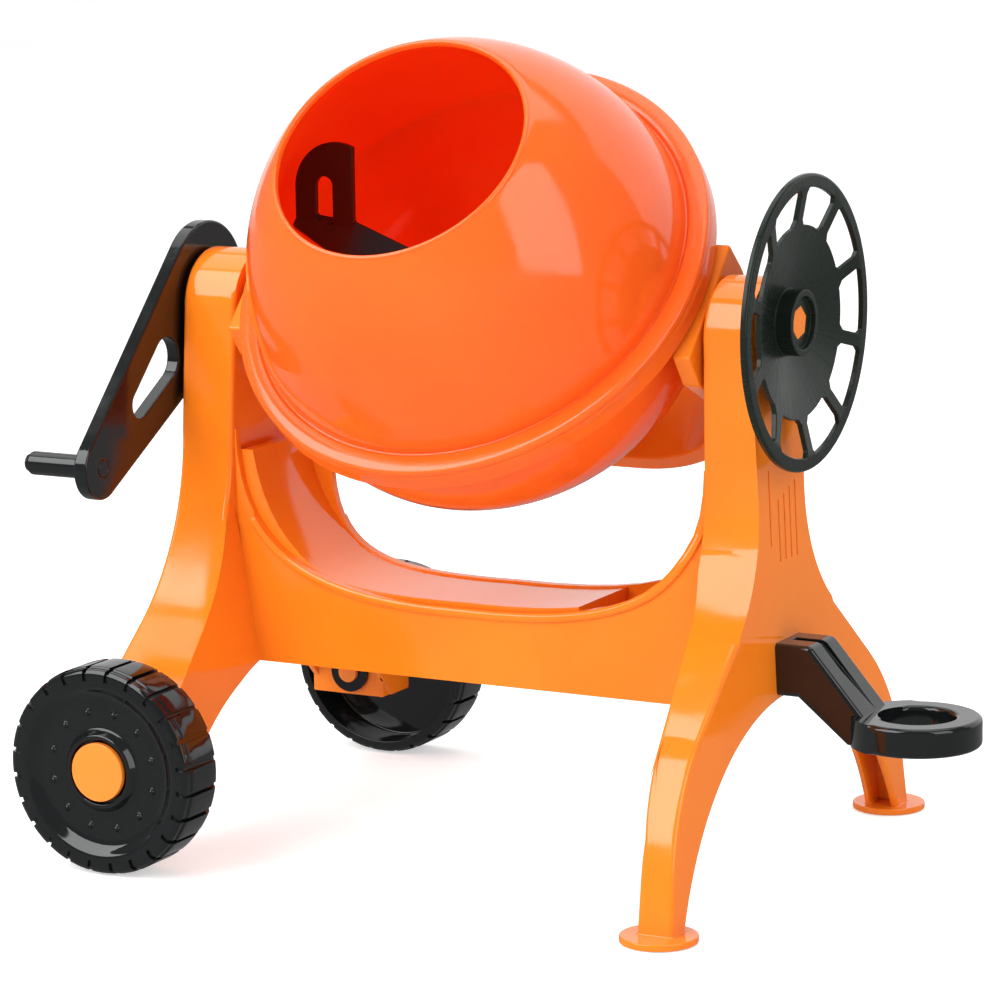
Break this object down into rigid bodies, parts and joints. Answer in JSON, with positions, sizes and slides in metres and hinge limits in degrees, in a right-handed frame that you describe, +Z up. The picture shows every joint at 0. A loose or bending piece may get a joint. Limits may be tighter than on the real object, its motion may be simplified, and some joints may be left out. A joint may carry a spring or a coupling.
{
  "type": "toy concrete mixer",
  "caption": "Toy site concrete mixer: an open orange drum tilts in a wheeled stand with feet and a tow ring, and a hand crank turns it through a crown gear.",
  "frame": {"origin": "on the floor, under the middle of the whole toy", "axes": "+X along the stand from the wheels to the tow ring, -Y where the drum empties, +Z up"},
  "size_m": [0.4298, 0.2826, 0.3718],
  "materials": {
    "frame_orange": "glossy moulded orange",
    "drum_orange": "glossy moulded red orange",
    "gloss_black": "glossy moulded black",
    "blade_brown": "satin dark brown",
    "zinc": "bright zinc plate"
  },
  "bodies": {
    "chassis": {"right_tower": "frame_orange", "left_tower": "frame_orange", "front_panel": "frame_orange", "rear_panel": "frame_orange", "deck": "frame_orange", "chassis_screws": "zinc", "tow_hitch": "gloss_black", "hitch_pin": "zinc", "front_wheel_pin": "frame_orange", "rear_wheel_pin": "frame_orange", "wheel_clips": "zinc"},
    "front_wheel": {"front_wheel": "gloss_black"},
    "rear_wheel": {"rear_wheel": "gloss_black"},
    "yoke": {"yoke": "frame_orange", "tilt_axle": "frame_orange", "tilt_wheel": "gloss_black", "crank_sleeve": "frame_orange"},
    "drum": {"drum_dome": "drum_orange", "drum_bowl": "drum_orange", "crown_gear": "drum_orange", "drum_spindle": "zinc", "spindle_spacer": "zinc", "spindle_nut": "zinc", "paddle_post": "blade_brown", "paddle_blade": "blade_brown"},
    "crank": {"crank_shaft": "zinc", "crank_arm": "gloss_black", "crank_peg": "gloss_black", "crank_pinion": "gloss_black", "pinion_washer": "zinc"}
  },
  "joints": [
    {"name": "front_wheel_spin", "type": "hinge", "parent": "chassis", "child": "front_wheel", "pos_m": [-0.15095, -0.127, 0.0477], "axis": [0, 1, 0], "continuous": true},
    {"name": "rear_wheel_spin", "type": "hinge", "parent": "chassis", "child": "rear_wheel", "pos_m": [-0.15095, 0.127, 0.0477], "axis": [0, 1, 0], "continuous": true},
    {"name": "drum_tilt", "type": "hinge", "parent": "chassis", "child": "yoke", "pos_m": [-0.02195, 0, 0.2485], "axis": [1, 0, 0], "range_deg": [-47, 75]},
    {"name": "drum_spin", "type": "hinge", "parent": "yoke", "child": "drum", "pos_m": [-0.02195, 0, 0.2485], "axis": [0, -0.7314, 0.682], "continuous": true},
    {"name": "crank_spin", "type": "hinge", "parent": "yoke", "child": "crank", "pos_m": [-0.02195, 0, 0.2485], "axis": [1, 0, 0], "continuous": true}
  ],
  "couplings": [
    {"joint": "crank_spin", "follows": "drum_spin", "ratio": 5}
  ]
}
